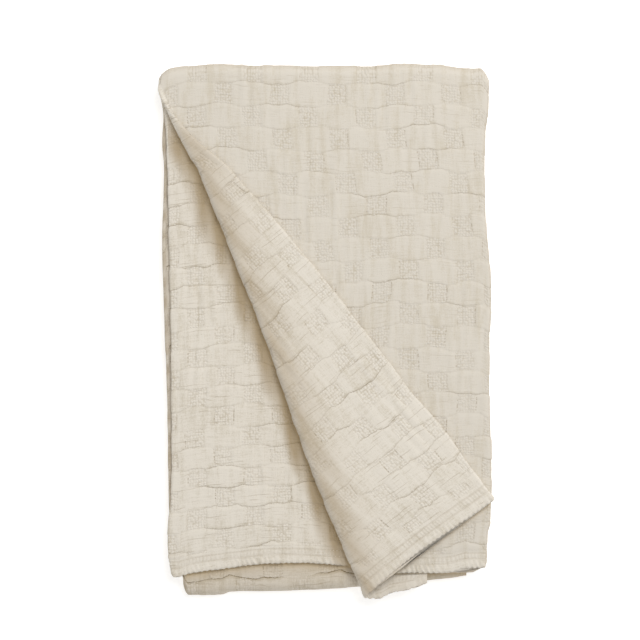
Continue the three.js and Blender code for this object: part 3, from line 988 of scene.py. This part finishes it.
class Nodes:
    def __init__(self, material):
        material.use_nodes = True
        self.tree = material.node_tree
        self.shader = self.tree.nodes["Principled BSDF"]

    def add(self, kind, settings, sockets, output=0):
        node = self.tree.nodes.new(kind)
        for name, value in settings.items():
            setattr(node, name, value)
        for name, value in sockets.items():
            self.join(node.inputs[name], value)
        return Socket(self, node.outputs[output])

    def join(self, target, value):
        if isinstance(value, Socket):
            self.tree.links.new(value.output, target)
        else:
            target.default_value = value

    def noise(self, at, scale, detail, rough=0.5):
        sockets = {"Vector": at, "Scale": scale, "Detail": detail, "Roughness": rough}
        return self.add("ShaderNodeTexNoise", {}, sockets)

    def blend(self, factor, one, other):
        return self.add("ShaderNodeMix", {"data_type": "RGBA"}, {0: factor, 6: one, 7: other}, 2)

    def bump(self, height, strength):  # height in mm
        sockets = {"Height": height * mm, "Distance": 1.0, "Strength": strength}
        return self.add("ShaderNodeBump", {}, sockets)

    def finish(self, values):
        for name, value in values.items():
            self.join(self.shader.inputs[name], value)


# Screen values, 0 to 255
cottonColours = {
    "face": (220, 213, 201),
    "reverse": (230, 223, 211),
    # random yarn tone, also used for painted shade and painted highlight in the cotton's slub blend
    "slubAndShadeTone": (208, 199, 182),
    # painted shade: the brown of crease lines, patch sides, rucks, pits and hem stitch rows, laid where
    # shade falls in the grooves
    "crease": (150, 130, 96),
    # painted shade: the brown laid where shade falls beside the flap, under hems, in folds and on
    # hidden layers
    "paintedShadeBrown": (158, 136, 100),
    # painted glow: a lighter warm brown laid in contact shadows, standing in for light bounced between
    # the cream layers
    "paintedBounceGlow": (216, 193, 152),
}
cottonLook = {
    "seedStep": 7.3,  # between the noise of the two kinds of side
    "hemTint": 0.7,
    "paintedShadeShare": 0.75,
    "mostPaintedShade": 0.8,
    "bumpStrength": 0.9,
    "finish": {"Roughness": 0.94, "Specular IOR Level": 0.2, "Sheen Weight": 0.12,
               "Sheen Roughness": 0.5},
}
# Noise over the cloth: changes per mm across and along, its own seed, its detail
cottonNoise = {
    "ragged": (0.5, 0.5, 0, 2),
    "torn": (0.1, 0.42, 4.0, 1),
    "drift": (0.02, 0.03, 0, 2),
    "ruckPlaces": (0.022, 0.17, 3.1, 2),
    "crinkle": (0.06, 0.55, 0, 3),
    "warps": (0.5, 0.06, 8.0, 2),
    "netAlong": (0.35, 1.3, 0, 1),
    "netAcross": (1.3, 0.35, 2.0, 1),
    "grain": (0.9, 0.9, 0, 2),
    "bands": (0.11, 0.016, 5.0, 2),
    "broad": (0.012, 0.012, 0, 3),
}
# What a feature adds: mm of height in the bump, share of the slub tone (random yarn tone, with painted
# shade and painted highlight), share of the crease colour (painted shade in grooves)
features = {
    "dot": (0.2, 0, 0),
    "ring": (0.14, 0.3, 0),
    "pebble": (0.5, 1.1, 0),
    "pit": (0, 0, 0.2),
    "crease": (0.5, 0, 0.7),
    "above": (0, 0.45, 0),
    "side": (0.26, 0, 0.5),
    "ruck": (0.15, 0, 0.38),
    "shade": (0, 0, 0.38),
    "crinkle": (0.55, 0.9, 0),
    "warps": (0.3, 0.6, 0),
    "netting": (0.22, 0.9, 0),
    "grain": (0.2, 0, 0),
    "broad": (0, 0.3, 0),
}


def colour(name):
    return tuple(((c / 255 + 0.055) / 1.055) ** 2.4 for c in cottonColours[name]) + (1.0,)


def makeCotton():
    material = bpy.data.materials.new("matelasseCotton")
    nodes = Nodes(material)
    rise, slubAndShadeShare, grooveShade = ({name: row[i] for name, row in features.items()} for i in range(3))

    def attribute(name, output="Vector"):
        return nodes.add("ShaderNodeAttribute", {"attribute_name": name}, {}, output)

    def parts(name):
        return [nodes.add("ShaderNodeSeparateXYZ", {}, {0: attribute(name)}, i) for i in range(3)]

    u, v, reverse = parts("cloth")
    toLine, lineStrength, sideStrength = parts("creases")
    du, dv, patch = parts("patch")
    shade, paintedShade, paintedBounce = (attribute(name, "Fac") for name in ("shade", "paintedShade", "paintedBounce"))
    layerSeed = reverse * cottonLook["seedStep"]
    lively = 0.55 + reverse * 0.45

    def noise(name, rough=0.5):
        across, along, seed, detail = cottonNoise[name]
        corner = {"X": u * across, "Y": v * along, "Z": layerSeed + seed}
        at = nodes.add("ShaderNodeCombineXYZ", {}, corner)
        return nodes.noise(at, 1.0, detail, rough)

    def squared(value):
        return value * value

    ragged = noise("ragged")
    torn = noise("torn")
    crinkle = noise("crinkle")
    warps = noise("warps")
    bands = noise("bands")
    netting = noise("netAlong") + noise("netAcross") - 1

    fray = ragged - 0.5
    a = (du + fray * 1.8).absolute()
    b = (dv - fray * 1.8).absolute()
    flatB = squared(b) * 0.45
    toCorner = (squared(a - weave["dotAcross"]) + squared(b - weave["dotAlong"])).root()
    toMiddle = (squared(a) * 1.4 + flatB).root()
    toBeside = (squared(a - weave["dotBetween"]) * 1.4 + flatB).root()
    toDot = toCorner.least(toMiddle).least(toBeside)
    dot = 1 - toDot.step(0.4, 2.2)
    ring = toDot.step(1.6, 2.7) * (1 - toDot.step(2.7, 4.2)) * ragged.step(0.35, 0.6)

    at = nodes.add("ShaderNodeCombineXYZ", {}, {"X": u, "Y": v, "Z": layerSeed})
    cell = nodes.add("ShaderNodeTexVoronoi", {}, {"Vector": at, "Scale": 0.27, "Randomness": 0.45})
    pebbled = (patch + fray * 0.9).step(0.25, 0.7)
    pits = cell.step(0.42, 0.75) * pebbled
    pebbles = (1 - cell.step(0.1, 0.6)) * pebbled

    thin = 1 - (toLine + fray * 3.0).absolute().step(0.05, 0.75)
    crease = thin * lineStrength * ragged.step(0.2, 0.5)
    above = toLine.step(-0.5, 0.6) * (1 - toLine.step(0.8, 5.0)) * lineStrength
    side = (1 - (a - 12.9).absolute().step(0.2, 1.3)) * sideStrength * torn.step(0.4, 0.6)
    wefts = v * 0.21 + noise("drift") * 2.6 + ragged * 0.12
    wefts = wefts.maths("FRACT", wefts)
    rucks = 1 - (wefts - 0.5).absolute().step(0.02, 0.12)
    rucks = rucks * noise("ruckPlaces").step(0.55, 0.66) * lively

    height = (patch * (dot * rise["dot"] - ring * rise["ring"]) + pebbles * rise["pebble"]
              - crease * rise["crease"] - side * rise["side"] - rucks * rise["ruck"]
              + (crinkle - 0.5) * rise["crinkle"] + (warps - 0.5) * rise["warps"]
              + netting * rise["netting"] + (noise("grain", 0.6) - 0.5) * rise["grain"])
    bump = nodes.bump(height, cottonLook["bumpStrength"])

    tone = nodes.blend(reverse, colour("face"), colour("reverse"))
    inHem = 1 - v.step(hem["width"] - 2, hem["width"] + 3)
    tone = nodes.blend(inHem * cottonLook["hemTint"], tone, colour("reverse"))
    # Slub tone: random yarn tone from the noises, and painted shade in the ring round each dot, above
    # each line and in soft vertical bands, with a painted highlight on the pebbles
    slubsAndShade = (0.12 + noise("broad").step(0.3, 0.75) * slubAndShadeShare["broad"]
             + (0.5 - bands) * (2.0 - reverse * 0.6) + netting * slubAndShadeShare["netting"]
             + (0.5 - warps) * slubAndShadeShare["warps"] + patch * ring * slubAndShadeShare["ring"]
             - pebbles * slubAndShadeShare["pebble"] + (0.5 - crinkle) * slubAndShadeShare["crinkle"] + above * slubAndShadeShare["above"])
    tone = nodes.blend(slubsAndShade.step(0.0, 1.0), tone, colour("slubAndShadeTone"))
    # painted shade: the cloth made browner where shade falls beside the flap, under hems and in folds
    paintedShadeBrown = (paintedShade * cottonLook["paintedShadeShare"]).least(cottonLook["mostPaintedShade"])
    tone = nodes.blend(paintedShadeBrown, tone, colour("paintedShadeBrown"))
    # painted glow in the contact shadows where layers touch
    tone = nodes.blend(paintedBounce, tone, colour("paintedBounceGlow"))
    # painted shade in the grooves: crease lines, patch sides, rucks, hem stitches and pits
    deepestGrooveShade = crease * grooveShade["crease"]
    for name, amount in (("side", side), ("ruck", rucks), ("shade", shade), ("pit", pits)):
        deepestGrooveShade = deepestGrooveShade.maths("MAXIMUM", deepestGrooveShade, amount * grooveShade[name])
    tone = nodes.blend(deepestGrooveShade.least(1.0), tone, colour("crease"))
    nodes.finish({"Normal": bump, "Base Color": tone, **cottonLook["finish"]})
    return material


threadLook = {
    "scale": 900.0,
    "twist": 0.2,  # the bump's height in mm
    "finish": {"Roughness": 0.7},
}


def makeThreadLook():
    material = bpy.data.materials.new("sewingThread")
    nodes = Nodes(material)
    at = nodes.add("ShaderNodeTexCoord", {}, {}, "Object")
    twist = nodes.noise(at, threadLook["scale"], 2.0)
    bump = nodes.bump(twist * threadLook["twist"], 1.0)
    tone = nodes.blend(twist, colour("slubAndShadeTone"), colour("reverse"))
    nodes.finish({"Normal": bump, "Base Color": tone, **threadLook["finish"]})
    return material


hemThread.data.materials.append(makeThreadLook())
cotton = makeCotton()
for piece in (coverletFace, coverletFlap, coverletInner, coverletLower):
    piece.data.materials.append(cotton)

view = {
    "frameWidth": 0.869,  # what the picture's width covers at the cloth's top, in metres
    "aim": (-0.0087, 0.0147),
    "distance": 5.0,
    "height": 0.042,
    "sensor": 36,  # in millimetres
}
studio = {
    "floorReach": 6,
    "floor": {"Base Color": (0.8, 0.8, 0.8, 1), "Roughness": 0.9,
              "Emission Color": (1, 1, 1, 1), "Emission Strength": 0.55},
    "sky": {"Color": (1, 0.99, 0.97, 1), "Strength": 0.5},
}


def makeCamera():
    data = bpy.data.cameras.new("overhead")
    data.sensor_width = view["sensor"]
    data.lens = view["sensor"] * view["distance"] / view["frameWidth"]
    camera = addObject("overhead", data)
    camera.location = (*view["aim"], view["distance"] + view["height"])
    bpy.context.scene.camera = camera


def makeLight(name, size, power, location):
    data = bpy.data.lights.new(name, "AREA")
    data.size = size
    data.energy = power
    light = addObject(name, data)
    light.location = location
    light.rotation_euler = Vector(location).to_track_quat("Z", "Y").to_euler()


def makeFloor():
    mesh = bpy.data.meshes.new("floor")
    edge = studio["floorReach"]
    corners = [(-edge, -edge, 0), (edge, -edge, 0), (edge, edge, 0), (-edge, edge, 0)]
    mesh.from_pydata(corners, [], [(0, 1, 2, 3)])
    floor = addObject("floor", mesh)
    material = bpy.data.materials.new("paleFloor")
    Nodes(material).finish(studio["floor"])
    mesh.materials.append(material)


def makeWorld():
    world = bpy.data.worlds.new("studio")
    world.use_nodes = True
    background = world.node_tree.nodes["Background"]
    for name, value in studio["sky"].items():
        background.inputs[name].default_value = value
    bpy.context.scene.world = world


makeCamera()
makeFloor()
makeWorld()
makeLight("key", size=2.2, power=80, location=(1.0, 1.4, 3.2))
bpy.context.scene.view_settings.view_transform = "Standard"
